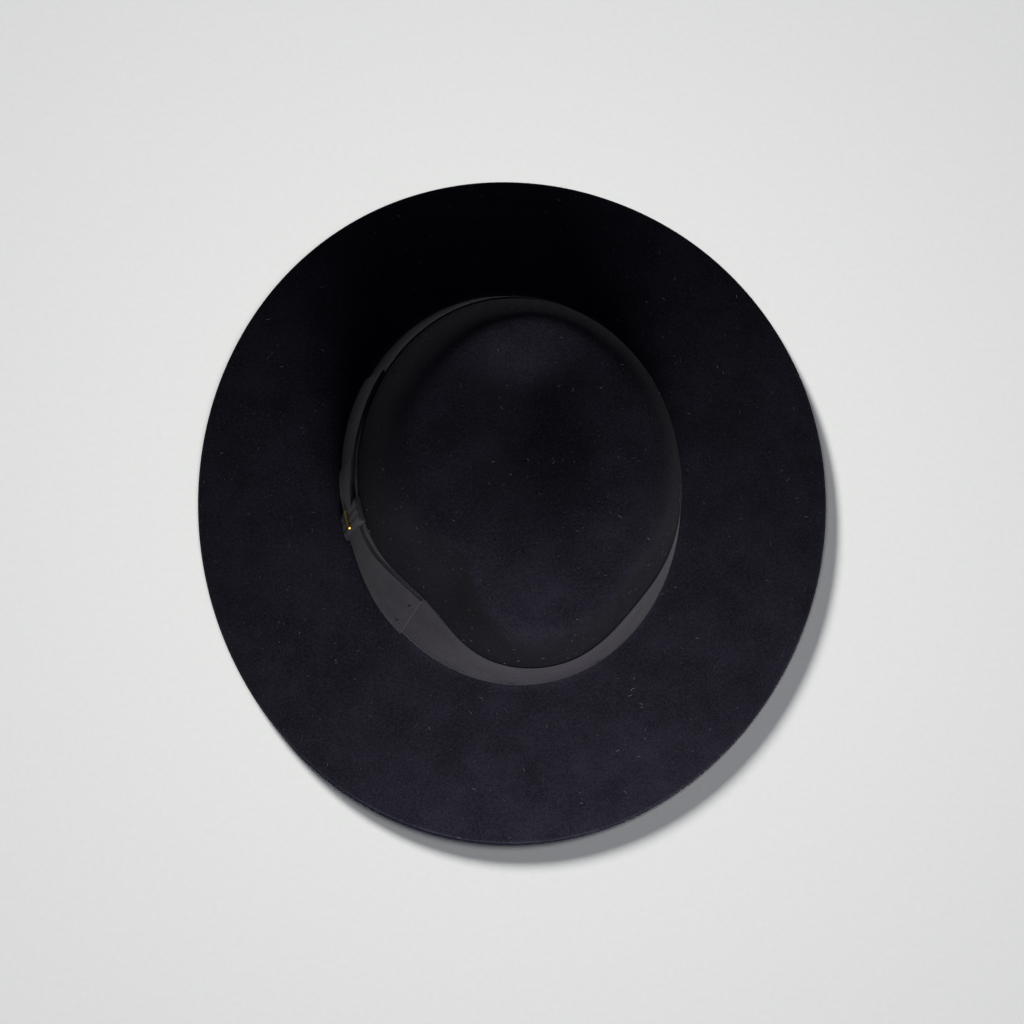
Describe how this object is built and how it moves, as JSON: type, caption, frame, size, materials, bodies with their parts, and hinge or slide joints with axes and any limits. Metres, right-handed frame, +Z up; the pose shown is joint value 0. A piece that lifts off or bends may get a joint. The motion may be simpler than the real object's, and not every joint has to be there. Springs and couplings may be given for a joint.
{
  "type": "fedora hat",
  "caption": "Wide-brimmed felt fedora with a teardrop crown pinched at the front, a grosgrain band, a flat side bow with a small gilt bar, a leather sweatband and a satin lining.",
  "frame": {"origin": "under the middle of the brim, on the surface the brim rests on", "axes": "+Z up; -Y is the front of the hat; +X is the wearer's left; the bow is on -X, the wearer's right"},
  "size_m": [0.3309, 0.3531, 0.121],
  "materials": {
    "fur_felt": "black fur felt, raised nap",
    "grosgrain": "black ribbed grosgrain ribbon",
    "thread": "black sewing thread",
    "gilt": "polished gilt",
    "sweat_leather": "dark brown roan leather",
    "reed": "translucent plastic rod",
    "tape": "woven cotton tape",
    "satin": "black satin",
    "label_cloth": "pale woven tag, blank"
  },
  "bodies": {
    "root": {"felt_body": "fur_felt", "hatband": "grosgrain", "hatband_tacks": "thread", "bow_rear_loop": "grosgrain", "bow_front_loop": "grosgrain", "bow_knot": "grosgrain", "bow_stitches": "thread", "bow_pin": "gilt", "sweatband": "sweat_leather", "sweatband_reed": "reed", "reed_tape": "tape", "sweatband_stitches": "thread", "back_seam_tape": "tape", "back_seam_stitches": "thread", "rear_bow_wings": "grosgrain", "rear_bow_knot": "grosgrain", "size_label": "label_cloth", "lining_side": "satin", "lining_tip": "satin", "lining_stitches": "thread"}
  },
  "joints": []
}
